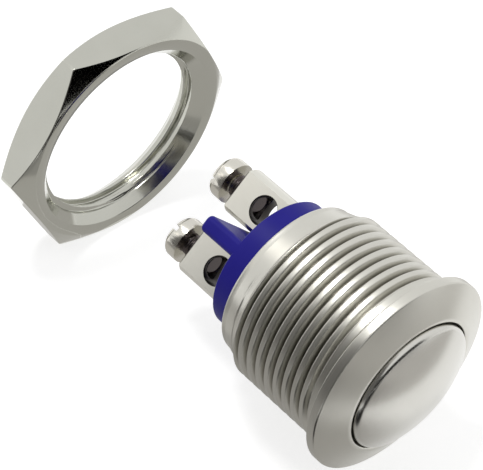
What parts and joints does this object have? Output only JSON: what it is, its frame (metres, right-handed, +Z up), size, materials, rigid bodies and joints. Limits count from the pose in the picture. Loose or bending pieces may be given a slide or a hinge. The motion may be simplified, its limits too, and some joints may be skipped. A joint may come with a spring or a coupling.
{
  "type": "pushbutton",
  "caption": "Round metal push button for panel mounting: domed cap in a conical flange, threaded barrel, blue base with screw terminals, and a loose hexagon nut behind it.",
  "frame": {"origin": "centre of the flange's back face, where the panel seats", "axes": "+Z up, the button's axis along Y: the cap faces -Y and the terminals and nut lie towards +Y"},
  "size_m": [0.023, 0.039, 0.02],
  "materials": {
    "barrel_steel": "turned, satin",
    "cap_steel": "turned, softly polished",
    "nut_nickel": "nickel-plated, bright",
    "terminal_nickel": "nickel-plated, satin",
    "screw_nickel": "nickel-plated, bright",
    "base_plastic": "moulded, fine satin",
    "sleeve_plastic": "moulded",
    "plunger_plastic": "moulded",
    "seal_rubber": "matte",
    "spring_steel": "drawn wire",
    "contact_brass": "stamped",
    "contact_silver": "bright"
  },
  "bodies": {
    "barrel": {"housing": "barrel_steel", "return_spring": "spring_steel", "inner_sleeve": "sleeve_plastic", "base": "base_plastic", "base_seal": "seal_rubber", "terminal_post_a": "terminal_nickel", "terminal_post_b": "terminal_nickel", "fixed_contact_a": "contact_silver", "fixed_contact_b": "contact_silver"},
    "button": {"button_cap": "cap_steel", "cap_seal": "seal_rubber", "plunger": "plunger_plastic", "plunger_clip": "spring_steel"},
    "bridge": {"contact_bridge": "contact_brass", "bridge_tip_a": "contact_silver", "bridge_tip_b": "contact_silver", "contact_spring": "spring_steel"},
    "screw_a": {"terminal_screw_a": "screw_nickel"},
    "screw_b": {"terminal_screw_b": "screw_nickel"},
    "nut": {"mounting_nut": "nut_nickel"}
  },
  "joints": [
    {"name": "button_press", "type": "slide", "parent": "barrel", "child": "button", "axis": [0, 1, 0], "range_m": [0, 0.0016], "stiffness_N_per_m": 900, "springref_m": -0.0015, "deforming": ["return_spring"]},
    {"name": "bridge_slide", "type": "slide", "parent": "barrel", "child": "bridge", "axis": [0, 1, 0], "range_m": [0, 0.0012], "deforming": ["contact_spring"]},
    {"name": "screw_a_drive", "type": "slide", "parent": "barrel", "child": "screw_a", "axis": [0, -1, 0], "range_m": [0, 0.00087]},
    {"name": "screw_b_drive", "type": "slide", "parent": "barrel", "child": "screw_b", "axis": [0, -1, 0], "range_m": [0, 0.00082]},
    {"name": "nut_travel", "type": "slide", "parent": "barrel", "child": "nut", "axis": [0, -1, 0], "range_m": [0, 0.029]}
  ],
  "couplings": [
    {"joint": "bridge_slide", "follows": "button_press", "ratio": 0.75}
  ]
}
